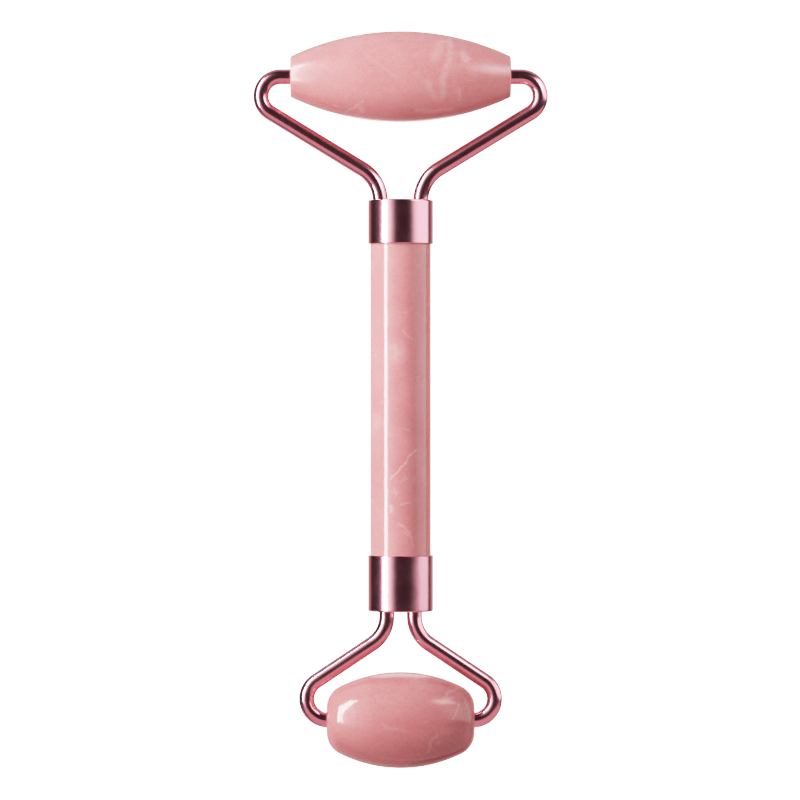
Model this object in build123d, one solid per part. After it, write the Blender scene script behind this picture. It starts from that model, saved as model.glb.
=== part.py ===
from build123d import *

# Double-ended stone face roller: a stone handle with a fork of bent wire at each end, and a
# barrel-shaped stone roller turning between the two arms of each fork. Millimetres.
#
# The object lies on a table. +X runs along the rollers' axles, +Y along the handle towards the
# large roller, +Z up. The origin is on the table under the middle of the handle.

import os
from dataclasses import dataclass
from math import radians, tan

OVERALL_LENGTH = 145.1

# Handle rod: one turned stone bar with a blind bore for a stud in each end
HANDLE_RADIUS = 5.95
GRIP_LENGTH = 61.3  # the part that isn't covered by the ferrules
HANDLE_INSERTION = 3.0  # length hidden in each ferrule
HANDLE_END_CHAMFER = 0.4
STUD_BORE_DEPTH = 14.0
GLUE_GAP = 0.05

# Ferrules: thin drawn metal cups that cover the handle's ends
FERRULE_RADIUS = 6.4
FERRULE_WALL = 0.4
FERRULE_END_WALL = 0.8
FERRULE_CORNER_ROUND = 0.3
FERRULE_RIM_ROUND = 0.12
LEG_HOLE_CLEARANCE = 0.1

# Anchor plugs: brass discs that fill the ferrules between the closed end and the handle rod
PLUG_RADIUS = 5.9
PLUG_CHAMFER = 0.3
LEG_SOCKET_CLEARANCE = 0.03

# Studs: steel pins from the plugs into the handle rod, ringed where they are glued
STUD_RADIUS = 2.0
STUD_LENGTH = 16.0
STUD_END_CHAMFER = 0.4
STUD_BOTTOM_GAP = 0.2
RING_DEPTH = 0.2
RING_WIDTH = 0.8
RING_PITCH = 2.4
RING_COUNT = 4

# Fork arms: bent round wire
WIRE_RADIUS = 1.5
WIRE_END_CHAMFER = 0.35

# Bushes: nylon cups pressed into both ends of a roller's bore, where the axle pins run
BORE_RADIUS = 2.2
BORE_CHAMFER = 0.2
BUSH_HOLE_RADIUS = 1.55
BUSH_MOUTH_CHAMFER = 0.2
BUSH_RECESS = 0.6
BUSH_END_WALL = 0.8
PIN_END_GAP = 0.15


@dataclass
class RollerEnd:
    """What differs between the two ends of the object."""

    side: int  # +1 for the end at +Y, -1 for the end at -Y
    roller_radius: float
    roller_half_length: float
    crown_arc: float  # radius of the arc along the roller's length
    roller_edge_round: float
    bush_length: float
    fork_reach: float  # from the middle plane to the arm's outermost centreline
    arm_slope: float  # degrees between the arm's slanted run and the axle
    pin_bend: float  # centreline radius of the bend beside the roller
    leg_bend: float  # centreline radius of the bend above the ferrule
    leg_offset: float  # from the middle plane to a leg's centreline
    leg_socket_depth: float
    stud_socket_depth: float
    ferrule_length: float

    @property
    def axle_y(self):
        return OVERALL_LENGTH / 2 - self.roller_radius

    @property
    def ferrule_end_y(self):
        return GRIP_LENGTH / 2 + self.ferrule_length

    @property
    def plug_outer_y(self):
        return self.ferrule_end_y - FERRULE_END_WALL

    @property
    def bush_inner_x(self):
        return self.roller_half_length - BUSH_RECESS - self.bush_length


LARGE = RollerEnd(
    side=1,
    roller_radius=8.95,
    roller_half_length=21.7,
    crown_arc=50.1,
    roller_edge_round=0.5,
    bush_length=9.6,
    fork_reach=27.5,
    arm_slope=31.4,
    pin_bend=3.83,
    leg_bend=7.45,
    leg_offset=3.97,
    leg_socket_depth=4.2,
    stud_socket_depth=4.2,
    ferrule_length=8.65,
)
SMALL = RollerEnd(
    side=-1,
    roller_radius=9.45,
    roller_half_length=14.56,
    crown_arc=26.9,
    roller_edge_round=4.6,
    bush_length=8.0,
    fork_reach=18.5,
    arm_slope=33.7,
    pin_bend=4.18,
    leg_bend=6.5,
    leg_offset=2.72,
    leg_socket_depth=3.4,
    stud_socket_depth=3.0,
    ferrule_length=11.0,
)

# Both axles and the handle lie in one level plane; the thicker roller rests on the table
AXIS_HEIGHT = max(LARGE.roller_radius, SMALL.roller_radius)
HANDLE_END_Y = GRIP_LENGTH / 2 + HANDLE_INSERTION


def bar_on_y(radius, start, end):
    """A round bar along the Y axis between two Y values."""
    return Pos(0, (start + end) / 2, 0) * Rot(90, 0, 0) * Cylinder(radius, end - start)


def circles_of(shape):
    return shape.edges().filter_by(GeomType.CIRCLE)


def in_place(shape, end):
    """Turns a shape modelled for the +Y end to its own end and lifts it to the axle height."""
    return Pos(0, 0, AXIS_HEIGHT) * (shape if end.side > 0 else mirror(shape, Plane.XZ))


def handle_rod():
    rod = bar_on_y(HANDLE_RADIUS, -HANDLE_END_Y, HANDLE_END_Y)
    rod = chamfer(circles_of(rod), HANDLE_END_CHAMFER)
    bore = bar_on_y(STUD_RADIUS + GLUE_GAP, HANDLE_END_Y - STUD_BORE_DEPTH, HANDLE_END_Y)
    return Pos(0, 0, AXIS_HEIGHT) * (rod - bore - mirror(bore, Plane.XZ))


def ferrule(end):
    rim_y = GRIP_LENGTH / 2
    cup = bar_on_y(FERRULE_RADIUS, rim_y, end.ferrule_end_y)
    cup = fillet(circles_of(cup).sort_by(Axis.Y)[-1], FERRULE_CORNER_ROUND)
    cup -= bar_on_y(FERRULE_RADIUS - FERRULE_WALL, rim_y, end.plug_outer_y)
    cup = fillet(circles_of(cup).group_by(Axis.Y)[0], FERRULE_RIM_ROUND)
    hole = bar_on_y(WIRE_RADIUS + LEG_HOLE_CLEARANCE, end.plug_outer_y, end.ferrule_end_y)
    for x in (-end.leg_offset, end.leg_offset):
        cup -= Pos(x, 0, 0) * hole
    return in_place(cup, end)


def anchor_plug(end):
    plug = bar_on_y(PLUG_RADIUS, HANDLE_END_Y, end.plug_outer_y)
    plug = chamfer(circles_of(plug), PLUG_CHAMFER)
    socket_radius = WIRE_RADIUS + LEG_SOCKET_CLEARANCE
    leg_socket = bar_on_y(socket_radius, end.plug_outer_y - end.leg_socket_depth, end.plug_outer_y)
    for x in (-end.leg_offset, end.leg_offset):
        plug -= Pos(x, 0, 0) * leg_socket
    plug -= bar_on_y(STUD_RADIUS, HANDLE_END_Y, HANDLE_END_Y + end.stud_socket_depth)
    return in_place(plug, end)


def handle_stud(end):
    tip_y = HANDLE_END_Y + end.stud_socket_depth - STUD_BOTTOM_GAP
    stud = bar_on_y(STUD_RADIUS, tip_y - STUD_LENGTH, tip_y)
    stud = chamfer(circles_of(stud), STUD_END_CHAMFER)
    ring = bar_on_y(STUD_RADIUS + GLUE_GAP, HANDLE_END_Y - RING_WIDTH, HANDLE_END_Y)
    ring -= bar_on_y(STUD_RADIUS - RING_DEPTH, HANDLE_END_Y - RING_WIDTH, HANDLE_END_Y)
    for number in range(1, RING_COUNT + 1):
        stud -= Pos(0, -number * RING_PITCH, 0) * ring
    return in_place(stud, end)


def fork_arm(end, hand):
    """One wire: axle pin, bend beside the roller, slanted run, wide bend, leg into the plug."""
    slope = radians(end.arm_slope)
    corner_x = end.fork_reach + end.pin_bend * (1 / tan(slope / 2) - 1)
    corner_y = end.axle_y - (corner_x - end.leg_offset) * tan(slope)
    route = FilletPolyline(
        (end.bush_inner_x + BUSH_END_WALL + PIN_END_GAP, end.axle_y),
        (corner_x, end.axle_y),
        (end.leg_offset, corner_y),
        (end.leg_offset, end.plug_outer_y - end.leg_socket_depth),
        radius=[end.pin_bend, end.leg_bend],
    )
    section = Plane(origin=route @ 0, z_dir=route % 0) * Circle(WIRE_RADIUS)
    arm = sweep(section, path=route)
    arm = chamfer(arm.faces().filter_by(GeomType.PLANE).edges(), WIRE_END_CHAMFER)
    return in_place(arm if hand > 0 else mirror(arm, Plane.YZ), end)


def roller(end):
    """A barrel of stone: an arc along its length, rounded edges, flat ends and a through bore."""
    half, edge = end.roller_half_length, end.roller_edge_round
    crown_centre = Vector(0, end.roller_radius - end.crown_arc)
    rise = ((end.crown_arc - edge) ** 2 - (half - edge) ** 2) ** 0.5
    edge_centre = crown_centre + Vector(half - edge, rise)
    shoulder = crown_centre + (edge_centre - crown_centre).normalized() * end.crown_arc
    far_shoulder = Vector(-shoulder.X, shoulder.Y)
    outline = [
        ThreePointArc(far_shoulder, (0, end.roller_radius), shoulder),
        RadiusArc(shoulder, (half, edge_centre.Y), edge),
        RadiusArc((-half, edge_centre.Y), far_shoulder, edge),
        Polyline(
            (half, edge_centre.Y),
            (half, BORE_RADIUS + BORE_CHAMFER),
            (half - BORE_CHAMFER, BORE_RADIUS),
            (BORE_CHAMFER - half, BORE_RADIUS),
            (-half, BORE_RADIUS + BORE_CHAMFER),
            (-half, edge_centre.Y),
        ),
    ]
    return in_place(Pos(0, end.axle_y, 0) * revolve(make_face(outline), Axis.X), end)


def bush(end, hand):
    mouth_x = end.roller_half_length - BUSH_RECESS
    floor_x = end.bush_inner_x + BUSH_END_WALL
    outline = Polyline(
        (end.bush_inner_x, 0),
        (end.bush_inner_x, BORE_RADIUS),
        (mouth_x, BORE_RADIUS),
        (mouth_x, BUSH_HOLE_RADIUS + BUSH_MOUTH_CHAMFER),
        (mouth_x - BUSH_MOUTH_CHAMFER, BUSH_HOLE_RADIUS),
        (floor_x, BUSH_HOLE_RADIUS),
        (floor_x, 0),
        close=True,
    )
    cup = revolve(make_face(outline), Axis.X)
    cup = cup if hand > 0 else mirror(cup, Plane.YZ)
    return in_place(Pos(0, end.axle_y, 0) * cup, end)


parts = {"handle_rod": handle_rod()}
for size, end in (("large", LARGE), ("small", SMALL)):
    parts[f"{size}_ferrule"] = ferrule(end)
    parts[f"{size}_anchor_plug"] = anchor_plug(end)
    parts[f"{size}_handle_stud"] = handle_stud(end)
    parts[f"{size}_roller"] = roller(end)
    for hand, hand_name in ((-1, "left"), (1, "right")):
        parts[f"{size}_{hand_name}_arm"] = fork_arm(end, hand)
        parts[f"{size}_{hand_name}_bush"] = bush(end, hand)

os.makedirs("parts", exist_ok=True)
for name, shape in parts.items():
    export_step(shape, f"parts/{name}.step")
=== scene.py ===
"""Looks for the double-ended stone face roller: materials, light, floor and camera."""

import math

import bpy
from mathutils import Matrix, Vector


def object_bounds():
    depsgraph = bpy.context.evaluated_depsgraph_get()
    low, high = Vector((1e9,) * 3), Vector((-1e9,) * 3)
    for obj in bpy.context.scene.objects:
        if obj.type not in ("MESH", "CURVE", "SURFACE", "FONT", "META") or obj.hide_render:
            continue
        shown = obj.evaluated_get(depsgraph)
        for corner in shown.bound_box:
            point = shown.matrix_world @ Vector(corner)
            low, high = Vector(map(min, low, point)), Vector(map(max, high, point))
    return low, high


MM = 0.001
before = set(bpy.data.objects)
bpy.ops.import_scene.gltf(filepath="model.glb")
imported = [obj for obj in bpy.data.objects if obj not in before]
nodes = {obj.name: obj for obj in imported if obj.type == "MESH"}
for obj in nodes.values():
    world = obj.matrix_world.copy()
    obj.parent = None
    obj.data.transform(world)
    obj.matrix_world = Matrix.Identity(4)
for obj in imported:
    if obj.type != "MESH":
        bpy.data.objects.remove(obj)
cad_low, cad_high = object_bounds()


# ---------------------------------------------------------------- node helpers


class Graph:
    """A node tree. Each method adds a node and gives back its output."""

    def __init__(self, tree):
        self.tree = tree

    def put(self, socket, value):
        """Sets an input to a value, or joins it to another node's output."""
        if isinstance(value, bpy.types.NodeSocket):
            self.tree.links.new(value, socket)
        elif value is not None:
            socket.default_value = value

    def math(self, operation, a, b=None, c=None, clamp=False):
        node = self.tree.nodes.new("ShaderNodeMath")
        node.operation = operation
        node.use_clamp = clamp
        for socket, value in zip(node.inputs, (a, b, c)):
            self.put(socket, value)
        return node.outputs[0]

    def vector(self, operation, a, b=None, scale=None):
        node = self.tree.nodes.new("ShaderNodeVectorMath")
        node.operation = operation
        self.put(node.inputs[0], a)
        self.put(node.inputs[1], b)
        self.put(node.inputs[3], scale)
        return node.outputs["Value" if operation in ("DOT_PRODUCT", "LENGTH") else "Vector"]

    def split(self, vector):
        node = self.tree.nodes.new("ShaderNodeSeparateXYZ")
        self.put(node.inputs[0], vector)
        return node.outputs

    def smooth(self, value, low, high, out_low=0.0, out_high=1.0):
        """Maps low..high to out_low..out_high with soft ends."""
        node = self.tree.nodes.new("ShaderNodeMapRange")
        node.interpolation_type = "SMOOTHSTEP"
        limits = {"From Min": low, "From Max": high, "To Min": out_low, "To Max": out_high}
        self.put(node.inputs["Value"], value)
        for name, limit in limits.items():
            self.put(node.inputs[name], limit)
        return node.outputs["Result"]

    def window(self, value, start, full, fade, end):
        """One between full and fade, and nothing outside start and end."""
        rise = self.smooth(value, start, full)
        fall = self.smooth(value, fade, end, 1.0, 0.0)
        return self.math("MULTIPLY", rise, fall)


class Surface(Graph):
    """A material's node tree, with places on the piece in millimetres."""

    def __init__(self, name):
        self.material = bpy.data.materials.new(name)
        self.material.use_nodes = True
        super().__init__(self.material.node_tree)
        self.shader = self.tree.nodes["Principled BSDF"]
        place = self.tree.nodes.new("ShaderNodeTexCoord")
        self.mm = self.vector("SCALE", place.outputs["Object"], scale=1 / MM)

    def finish(self, **inputs):
        """Sets the shader's own inputs, named with underscores for spaces."""
        for name, value in inputs.items():
            self.put(self.shader.inputs[name.replace("_", " ")], value)
        return self.material

    def noise(self, size, where=None, detail=3.0, roughness=0.5, distortion=0.0, colour=False):
        """Noise whose features are about this many millimetres across."""
        node = self.tree.nodes.new("ShaderNodeTexNoise")
        self.put(node.inputs["Vector"], where or self.mm)
        self.put(node.inputs["Scale"], 1 / size)
        self.put(node.inputs["Detail"], detail)
        self.put(node.inputs["Roughness"], roughness)
        self.put(node.inputs["Distortion"], distortion)
        return node.outputs["Color" if colour else "Fac"]

    def shifted(self, where, reach, size, noise_at, detail):
        """Places pushed about by noise of this size, by at most half the reach each way."""
        noise = self.noise(size, noise_at, detail, colour=True)
        push = self.vector("SUBTRACT", noise, (0.5, 0.5, 0.5))
        return self.vector("ADD", where, self.vector("SCALE", push, scale=reach))

    def blend(self, amount, a, b):
        """Mixes two colours."""
        node = self.tree.nodes.new("ShaderNodeMix")
        node.data_type = "RGBA"
        self.put(node.inputs[0], amount)
        self.put(node.inputs[6], a)
        self.put(node.inputs[7], b)
        return node.outputs[2]

    def bump(self, height, distance):
        """A normal from a height map, where a height of one stands for this many millimetres."""
        node = self.tree.nodes.new("ShaderNodeBump")
        self.put(node.inputs["Height"], height)
        self.put(node.inputs["Distance"], distance * MM)
        self.put(node.inputs["Strength"], 1.0)
        return node.outputs["Normal"]


# ----------------------------------------------------------------------- stone


# The stone's two ground tones, and the pale tone of all its marks
ROSE = ((0.605, 0.206, 0.210, 1), (0.655, 0.238, 0.243, 1))
DEEP_ROSE = ((0.46, 0.132, 0.137, 1), (0.51, 0.156, 0.161, 1))
PALE = (0.88, 0.54, 0.53, 1)

# The most that each kind of mark blends into the ground
MOTTLE_SHARE = 0.06
GRAIN_SHARE = 0.16
CLOUD_SHARE = 0.2
WISP_SHARE = 0.2

# How far from its middle value the noise still shows a wisp
WISP_WIDTH = 0.012

# Roughness of the stone's polish, from its glossiest to its dullest spots
HIGH_POLISH = (0.10, 0.17)
SOFT_POLISH = (0.20, 0.27)

# Pale veining and patches by piece, one of them painted light: points in X and Y, width either side, and
# strength
HANDLE_VEINS = (
    (((3.0, -9.9), (1.8, -11.1), (0.6, -12.6), (-0.7, -14.1), (-2.1, -15.8)), 0.32, 0.5),
    (((2.3, 11.8), (1.5, 12.4), (0.6, 13.5)), 0.3, 0.24),
    (((-1.0, 10.0), (-0.6, 8.6)), 2.6, 0.32),
    (((1.6, -20.2), (0.1, -20.4)), 0.45, 0.25),
    (((-0.2, -24.4), (0.8, -25.0), (1.8, -26.4)), 0.55, 0.34),
    (((0.6, -26.0), (2.0, -27.0), (2.5, -28.8)), 0.3, 0.26),
    (((-1.9, -21.0), (-1.9, -21.8)), 0.7, 0.4),
    (((-4.6, -3.8), (-4.9, -5.4)), 1.7, 0.22),
)
LARGE_VEINS = (
    (((9.5, 70.4), (9.7, 67.6), (9.0, 64.7), (8.2, 62.4), (8.3, 59.5)), 1.1, 0.29),
    (((5.6, 61.7), (6.0, 59.6), (7.6, 58.6), (8.6, 59.9)), 1.1, 0.2),
    (((7.5, 69.9), (9.5, 70.5)), 0.5, 0.3),
    (((7.6, 69.3), (6.8, 67.0)), 1.8, 0.26),
    (((12.2, 67.5), (12.8, 66.5)), 1.2, 0.5),
    (((-7.4, 67.6), (-5.1, 66.2), (-2.5, 64.0), (0.8, 61.7)), 0.5, 0.11),
    (((-10.8, 56.6), (-9.0, 57.3), (-7.4, 58.4)), 0.35, 0.32),
    (((-8.0, 57.1), (-7.4, 56.5)), 0.8, 0.25),
    (((2.8, 56.8), (6.0, 56.5), (10.0, 57.1)), 0.4, 0.27),
    (((11.6, 60.6), (11.3, 58.8)), 0.5, 0.3),
)
SMALL_VEINS_AND_PAINTED_LIGHT = (
    # Painted light: a wide pale patch that lightens the small roller's upper left, as if lit from there
    (((-11.0, -63.5), (-8.0, -58.5), (2.5, -56.5)), 7.0, 0.14),
    (((7.2, -65.5), (6.0, -66.5), (5.4, -68.9)), 0.45, 0.24),
    (((11.5, -59.6), (10.9, -61.2), (10.1, -62.6)), 0.4, 0.2),
    (((8.7, -57.7), (11.1, -56.7)), 0.5, 0.22),
    (((7.2, -67.2), (7.6, -66.9)), 0.5, 0.2),
)


def wisps(g, here):
    """Faint threads, where a swirled noise passes through its middle value."""
    swirled = g.shifted(here, reach=2.2, size=9.0, noise_at=here, detail=2.0)
    noise = g.noise(10.0, swirled, distortion=1.6)
    from_middle = g.math("ABSOLUTE", g.math("SUBTRACT", noise, 0.5))
    thread = g.smooth(from_middle, 0.0, WISP_WIDTH, 1.0, 0.0)
    some_places = g.smooth(g.noise(6.0, here, detail=2.0), 0.52, 0.66)
    return g.math("MULTIPLY", thread, some_places)


def near_line(g, flat, path, width):
    """One on a line through these points in X and Y, in millimetres, and zero beyond its width."""
    away = None
    for start, end in zip(path, path[1:]):
        along = Vector((*end, 0)) - Vector((*start, 0))
        from_start = g.vector("SUBTRACT", flat, (*start, 0))
        reach = g.vector("DOT_PRODUCT", from_start, along)
        share = g.math("DIVIDE", reach, along.length_squared, clamp=True)
        nearest = g.vector("SCALE", along, scale=share)
        off = g.vector("LENGTH", g.vector("SUBTRACT", from_start, nearest))
        away = off if away is None else g.math("MINIMUM", away, off)
    return g.smooth(away, 0, width, 1, 0)


def add_veins_and_painted_light(g, here, pale, veins_and_painted_light):
    """Adds the listed veining and patches of painted light to a pale amount, a little wavy and broken
    up.
    """
    wavy = g.shifted(g.mm, reach=1.1, size=2.5, noise_at=here, detail=3.0)
    flat = g.vector("MULTIPLY", wavy, (1, 1, 0))
    break_up = g.smooth(g.noise(0.9, here, roughness=0.6), 0.3, 0.6, 0.45, 1.0)
    for path, width, strength in veins_and_painted_light:
        mark = g.math("MULTIPLY", near_line(g, flat, path, width), break_up)
        pale = g.math("MAXIMUM", pale, g.math("MULTIPLY", mark, strength))
    return pale


def stone(name, tones, seed, veins_and_painted_light, speckle=1.0, polish=HIGH_POLISH):
    """Rose stone: mottled ground, soft pale clouds, wisps, veining and fine grain, plus any listed patch
    of painted light.

    The seed moves the noise, so that no two pieces are alike. The speckle scales the contrast of the
    mottle and grain. Noise lies mostly between 0.3 and 0.7, and the limits below stretch it out.
    """
    g = Surface(name)
    here = g.vector("ADD", g.mm, seed)
    swing = (0.5 - 0.5 * speckle, 0.5 + 0.5 * speckle)
    ground = g.smooth(g.noise(14.0, here, roughness=0.55, distortion=0.6), 0.34, 0.66)
    mottle = g.smooth(g.noise(1.6, here, detail=4.0, roughness=0.65), 0.3, 0.7, *swing)
    grain = g.smooth(g.noise(0.3, here, detail=2.0, roughness=0.6), 0.3, 0.7, *swing)
    cloud = g.smooth(g.noise(7.5, here, detail=4.0, roughness=0.62, distortion=1.2), 0.6, 0.8)
    soft_marks = g.math("MULTIPLY", cloud, CLOUD_SHARE)
    pale = g.math("MAXIMUM", soft_marks, g.math("MULTIPLY", wisps(g, here), WISP_SHARE))
    pale = add_veins_and_painted_light(g, here, pale, veins_and_painted_light)

    colour = g.blend(ground, *tones)
    colour = g.blend(g.math("MULTIPLY", mottle, MOTTLE_SHARE), colour, PALE)
    colour = g.blend(g.math("MULTIPLY", grain, GRAIN_SHARE), colour, PALE)
    colour = g.blend(pale, colour, PALE)

    waves = g.noise(5.0, here, detail=2.0)
    pits = g.math("MULTIPLY", g.noise(0.5, here, detail=2.0), 0.06)
    return g.finish(
        Base_Color=colour,
        Roughness=g.smooth(g.noise(3.0, here), 0.3, 0.7, *polish),
        IOR=1.46,
        Subsurface_Weight=0.25,
        Subsurface_Radius=(1.0, 0.45, 0.4),
        Subsurface_Scale=0.9 * MM,
        Normal=g.bump(g.math("ADD", waves, pits), 0.03),
    )


# ------------------------------------------------------------ metal and plastic


PLATING = ((0.82, 0.345, 0.42, 1), (0.86, 0.375, 0.45, 1))
PLATING_ROUGHNESS = 0.17
PLATING_UNEVENNESS = 0.03  # the most that the marks and the haze each add to it
BRASS = (0.80, 0.58, 0.25, 1)
STEEL = (0.56, 0.57, 0.60, 1)
NYLON = ((0.72, 0.70, 0.66, 1), (0.82, 0.80, 0.76, 1))


def rose_gold(name, mark_scale):
    """Polished rose-gold plating, with faint marks. A mark scale under one draws them out that way."""
    g = Surface(name)
    marks = g.noise(0.12, g.vector("MULTIPLY", g.mm, mark_scale), roughness=0.6)
    haze = g.smooth(g.noise(3.5, roughness=0.6), 0.35, 0.7)
    polish = g.math("MULTIPLY_ADD", marks, PLATING_UNEVENNESS, PLATING_ROUGHNESS)
    return g.finish(
        Base_Color=g.blend(haze, *PLATING),
        Metallic=1.0,
        Roughness=g.math("MULTIPLY_ADD", haze, PLATING_UNEVENNESS, polish),
        Normal=g.bump(marks, 0.0001),
    )


def turned_metal(name, colour, smoothest):
    """A lathe-turned hidden piece, with fine rings round the handle's axis."""
    g = Surface(name)
    drawn_round = g.vector("MULTIPLY", g.mm, (0.02, 1, 0.02))
    rings = g.noise(0.15, drawn_round, roughness=0.6)
    darker = [0.8 * channel for channel in colour[:3]] + [1]
    return g.finish(
        Base_Color=g.blend(g.noise(2.0), colour, darker),
        Metallic=1.0,
        Roughness=g.math("MULTIPLY_ADD", rings, 0.15, smoothest),
        Normal=g.bump(rings, 0.01),
    )


def nylon(name):
    """Moulded off-white nylon with faint flow marks."""
    g = Surface(name)
    flow = g.noise(1.2, roughness=0.6)
    return g.finish(
        Base_Color=g.blend(flow, *NYLON),
        Roughness=g.math("MULTIPLY_ADD", flow, 0.15, 0.38),
        Subsurface_Weight=0.15,
        Subsurface_Radius=(1.0, 0.9, 0.8),
        Subsurface_Scale=0.5 * MM,
        Normal=g.bump(flow, 0.01),
    )


# ------------------------------------------------------- which piece wears what


stone_pieces = {
    "handle_rod": stone("handle_stone", ROSE, (3.0, 11.0, 5.0), HANDLE_VEINS, speckle=0.8),
    "large_roller": stone("large_roller_stone", ROSE, (41.0, 7.0, 2.0), LARGE_VEINS, polish=SOFT_POLISH),
    "small_roller": stone("small_roller_stone", DEEP_ROSE, (17.0, 29.0, 8.0), SMALL_VEINS_AND_PAINTED_LIGHT, speckle=0.6),
}
by_ending = {
    "_ferrule": rose_gold("rose_gold_drawn", (1, 0.15, 1)),
    "_arm": rose_gold("rose_gold_wire", (1, 1, 1)),
    "_anchor_plug": turned_metal("brass", BRASS, 0.25),
    "_handle_stud": turned_metal("steel", STEEL, 0.22),
    "_bush": nylon("nylon"),
}
for name, node in nodes.items():
    worn = stone_pieces.get(name)
    for ending, material in by_ending.items():
        if name.endswith(ending):
            worn = material
    node.data.materials.clear()
    node.data.materials.append(worn)


# ----------------------------------------------------------------------- floor


FLOOR_HALF_WIDTH = 3.0
FLOOR_TONES = ((0.93, 0.93, 0.93, 1), (0.95, 0.95, 0.95, 1))
FLOOR_LIGHT = 3.0  # emission, which makes the whole floor show white


def floor():
    """A plain white floor. It lights nothing, casts no shadow and isn't mirrored in the object."""
    mesh = bpy.data.meshes.new("floor")
    near, far = -FLOOR_HALF_WIDTH, FLOOR_HALF_WIDTH
    corners = [(near, near, 0), (far, near, 0), (far, far, 0), (near, far, 0)]
    mesh.from_pydata(corners, [], [(0, 1, 2, 3)])
    plane = bpy.data.objects.new("floor", mesh)
    bpy.context.scene.collection.objects.link(plane)
    g = Surface("floor")
    paper = g.finish(
        Base_Color=g.blend(g.noise(60.0, detail=2.0), *FLOOR_TONES),
        Roughness=0.8,
        Emission_Color=(1, 1, 1, 1),
        Emission_Strength=FLOOR_LIGHT,
    )
    mesh.materials.append(paper)
    plane.visible_glossy = False
    plane.visible_diffuse = False
    plane.visible_shadow = False


# ----------------------------------------------------------------------- light


# Both axles and the handle lie at this height, halfway up the thicker roller
axis_z = (cad_low[2] + cad_high[2]) / 2
centre = Vector((0, 0, axis_z))

# The room's light by direction: red, green and blue at its brightest
BACKDROP = (3.2, 3.2, 3.2)  # added only where the camera looks past the floor
DARK = (0.036, 0.020, 0.025)
FLOOR_GLOW = (0.78, 0.53, 0.49)
HEAD_GLOW = (0.66, 0.66, 0.66)
FOOT_GLOW = (0.75, 0.51, 0.51)
RIGHT_PANEL = (2.3, 2.3, 2.3)
LEFT_HALO = (1.9, 1.9, 1.9)

# Where the glows come up, from nothing to full, in parts of a direction of length one
FLOOR_GLOW_Z = (-0.55, -0.9)
HEAD_GLOW_Y = (0.5, 0.9)
HEAD_GLOW_Z = (0.2, -0.4)
FOOT_GLOW_Y = (-0.2, -0.5)
FOOT_GLOW_Z = (-0.15, -0.35)
FOOT_GLOW_LEFT = (-0.45, -0.95)  # of X and Y added, as the foot glow is on the left only

# Where the panel and the halo are, in degrees across from overhead and along towards +Y
PANEL_NEAR_EDGE = (49, 68)
PANEL_FAR_EDGE = (108, 121)
PANEL_ALONG = (-9, 1.5, 28, 50)
PANEL_BEND = (-6, 6)  # its near edge shifts over this stretch along
PANEL_SHIFT = (-18.4, 17)
HALO_ACROSS = (-68, -58, -50, -14)
HALO_ALONG = (-16, -6, 26, 60)

# The two lights at the small end: their tints, and what they share
GLOW_TINT = (1.0, 0.56, 0.56)
SHEEN_TINT = (1.0, 0.68, 0.68)
FOOT_DIRECTION = (28, -65)
FOOT_SIZE = (1.6, 0.529)


def studio():
    """The room round the object, by direction.

    It is dark overhead, with a panel on the right, a halo round the left strip light, and glows below
    and at both ends.
    """
    room = bpy.data.worlds.new("studio")
    bpy.context.scene.world = room
    room.use_nodes = True
    g = Graph(room.node_tree)
    place = room.node_tree.nodes.new("ShaderNodeTexCoord")
    x, y, z = g.split(place.outputs["Generated"])
    across = g.math("MULTIPLY", g.math("ARCTAN2", x, z), math.degrees(1))
    along = g.math("MULTIPLY", g.math("ARCSINE", y), math.degrees(1))

    shifted = g.math("ADD", across, g.smooth(along, *PANEL_BEND, *PANEL_SHIFT))
    near_edge = g.smooth(shifted, *PANEL_NEAR_EDGE)
    far_edge = g.smooth(across, *PANEL_FAR_EDGE, 1, 0)
    panel = g.math("MULTIPLY", g.math("MULTIPLY", near_edge, far_edge), g.window(along, *PANEL_ALONG))
    halo = g.math("MULTIPLY", g.window(across, *HALO_ACROSS), g.window(along, *HALO_ALONG))
    head = g.math("MULTIPLY", g.smooth(y, *HEAD_GLOW_Y), g.smooth(z, *HEAD_GLOW_Z))
    foot = g.math("MULTIPLY", g.smooth(y, *FOOT_GLOW_Y), g.smooth(z, *FOOT_GLOW_Z))
    foot = g.math("MULTIPLY", foot, g.smooth(g.math("ADD", y, x), *FOOT_GLOW_LEFT))
    seen = room.node_tree.nodes.new("ShaderNodeLightPath").outputs["Is Camera Ray"]

    total = DARK
    for amount, colour in (
        (g.smooth(z, *FLOOR_GLOW_Z), FLOOR_GLOW),
        (head, HEAD_GLOW),
        (foot, FOOT_GLOW),
        (panel, RIGHT_PANEL),
        (halo, LEFT_HALO),
        (seen, BACKDROP),
    ):
        total = g.vector("ADD", total, g.vector("SCALE", colour, scale=amount))
    g.put(room.node_tree.nodes["Background"].inputs["Color"], total)


def direction(across, along):
    """A direction this many degrees from overhead towards +X, then tipped towards +Y."""
    a, b = math.radians(across), math.radians(along)
    return Vector((math.sin(a) * math.cos(b), math.sin(b), math.cos(a) * math.cos(b)))


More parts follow.
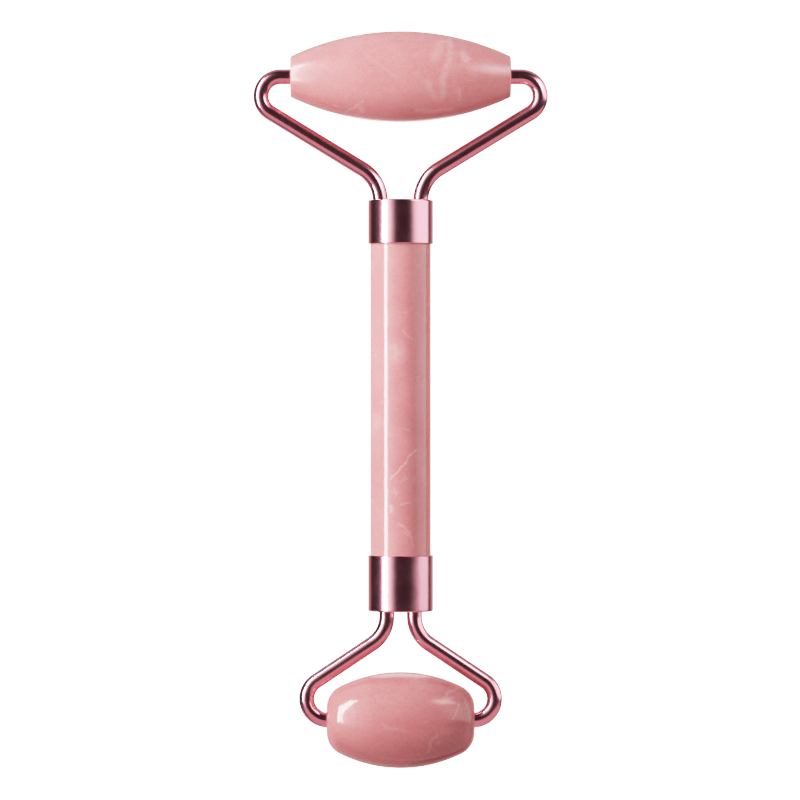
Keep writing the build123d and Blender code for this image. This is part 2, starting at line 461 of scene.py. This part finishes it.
def softbox(
    name, across, along, distance, width, height, radiance, tint=(1, 1, 1), fade=0.0, aim=0.0, turn=0.0
):
    """A rectangular light in this direction from the centre, its height along the object's length.

    Its light fades towards its edges over this share of its width and height. It faces the place this
    far along the object's length, and is turned by these degrees about the way that it faces.
    """
    place = centre + direction(across, along) * distance
    back = (place - centre - Vector((0, aim, 0))).normalized()
    side = Vector((0, 1, 0)).cross(back).normalized()
    light = bpy.data.lights.new(name, "AREA")
    light.shape = "RECTANGLE"
    light.size = width
    light.size_y = height
    light.energy = radiance * math.pi * width * height
    light.color = tint
    if fade:
        light.use_nodes = True
        g = Graph(light.node_tree)
        spot = light.node_tree.nodes.new("ShaderNodeNewGeometry")
        u, v, _ = g.split(spot.outputs["Parametric"])
        edges = (0, fade, 1 - fade, 1)
        soft = g.math("MULTIPLY", g.window(u, *edges), g.window(v, *edges))
        g.put(light.node_tree.nodes["Emission"].inputs["Strength"], soft)
    box = bpy.data.objects.new(name, light)
    facing = Matrix((side, back.cross(side), back)).transposed().to_4x4()
    box.matrix_world = Matrix.Translation(place) @ facing @ Matrix.Rotation(math.radians(turn), 4, "Z")
    box.visible_camera = False
    bpy.context.scene.collection.objects.link(box)
    return box


def lights():
    """The softboxes. Angles are in degrees, and distances and sizes in metres."""
    # The long bright line down the left of the handle, ferrules and arms
    softbox("left_strip", -60.1, 22.8, 0.488, 0.094, 0.567, 32.0, aim=0.189, turn=5)
    # The soft streaks on the rollers' right ends, and the bright line on the small right arm
    softbox("right_strip", 53.5, 36.9, 0.225, 0.15, 0.13, 6.8, fade=0.4, aim=0.135)
    softbox("right_high", 74, 46.5, 0.262, 0.09, 0.07, 3.4, fade=0.25, aim=0.19)
    # The wide soft light at the small end: one light for its glow, and one just behind for its sheen
    glow = softbox("foot_glow", *FOOT_DIRECTION, 0.299, *FOOT_SIZE, 0.53, GLOW_TINT, fade=0.05)
    glow.visible_glossy = False
    sheen = softbox("foot_sheen", *FOOT_DIRECTION, 0.306, *FOOT_SIZE, 0.78, SHEEN_TINT, fade=0.05)
    sheen.visible_diffuse = False
    # A small light below, mirrored as the pale arc on the small roller's upper edge
    softbox("under_light", 180, 17, 0.105, 0.045, 0.06, 1.8)


floor()
studio()
lights()


# ------------------------------------------------------------- camera and tone


CAMERA_HEIGHT = 0.885  # above the axles
CAMERA_X = -0.12 * MM
CAMERA_Y = -0.07 * MM
SENSOR_WIDTH = 36.0
LENS = 202.2

# The picture's tone curve: straight in the darks and middle, rolling off to white at WHITE_POINT
WHITE_POINT = 3.0
LIGHT_AND_SHOWN = ((0.25, 0.25), (0.48, 0.48), (0.68, 0.61), (1.0, 0.755), (1.4, 0.85), (2.0, 0.93))

camera = bpy.data.objects.new("camera", bpy.data.cameras.new("camera"))
camera.data.sensor_width = SENSOR_WIDTH
camera.data.lens = LENS
camera.data.clip_end = 10
camera.location = (CAMERA_X, CAMERA_Y, axis_z + CAMERA_HEIGHT)
bpy.context.scene.collection.objects.link(camera)
bpy.context.scene.camera = camera

view = bpy.context.scene.view_settings
view.view_transform = "Standard"
view.use_curve_mapping = True
view.curve_mapping.white_level = [WHITE_POINT] * 3
view.curve_mapping.clip_max_x = 1.0
curve = view.curve_mapping.curves[3]
curve.points[0].handle_type = "VECTOR"
for light, shown in LIGHT_AND_SHOWN:
    curve.points.new(light / WHITE_POINT, shown)
view.curve_mapping.update()
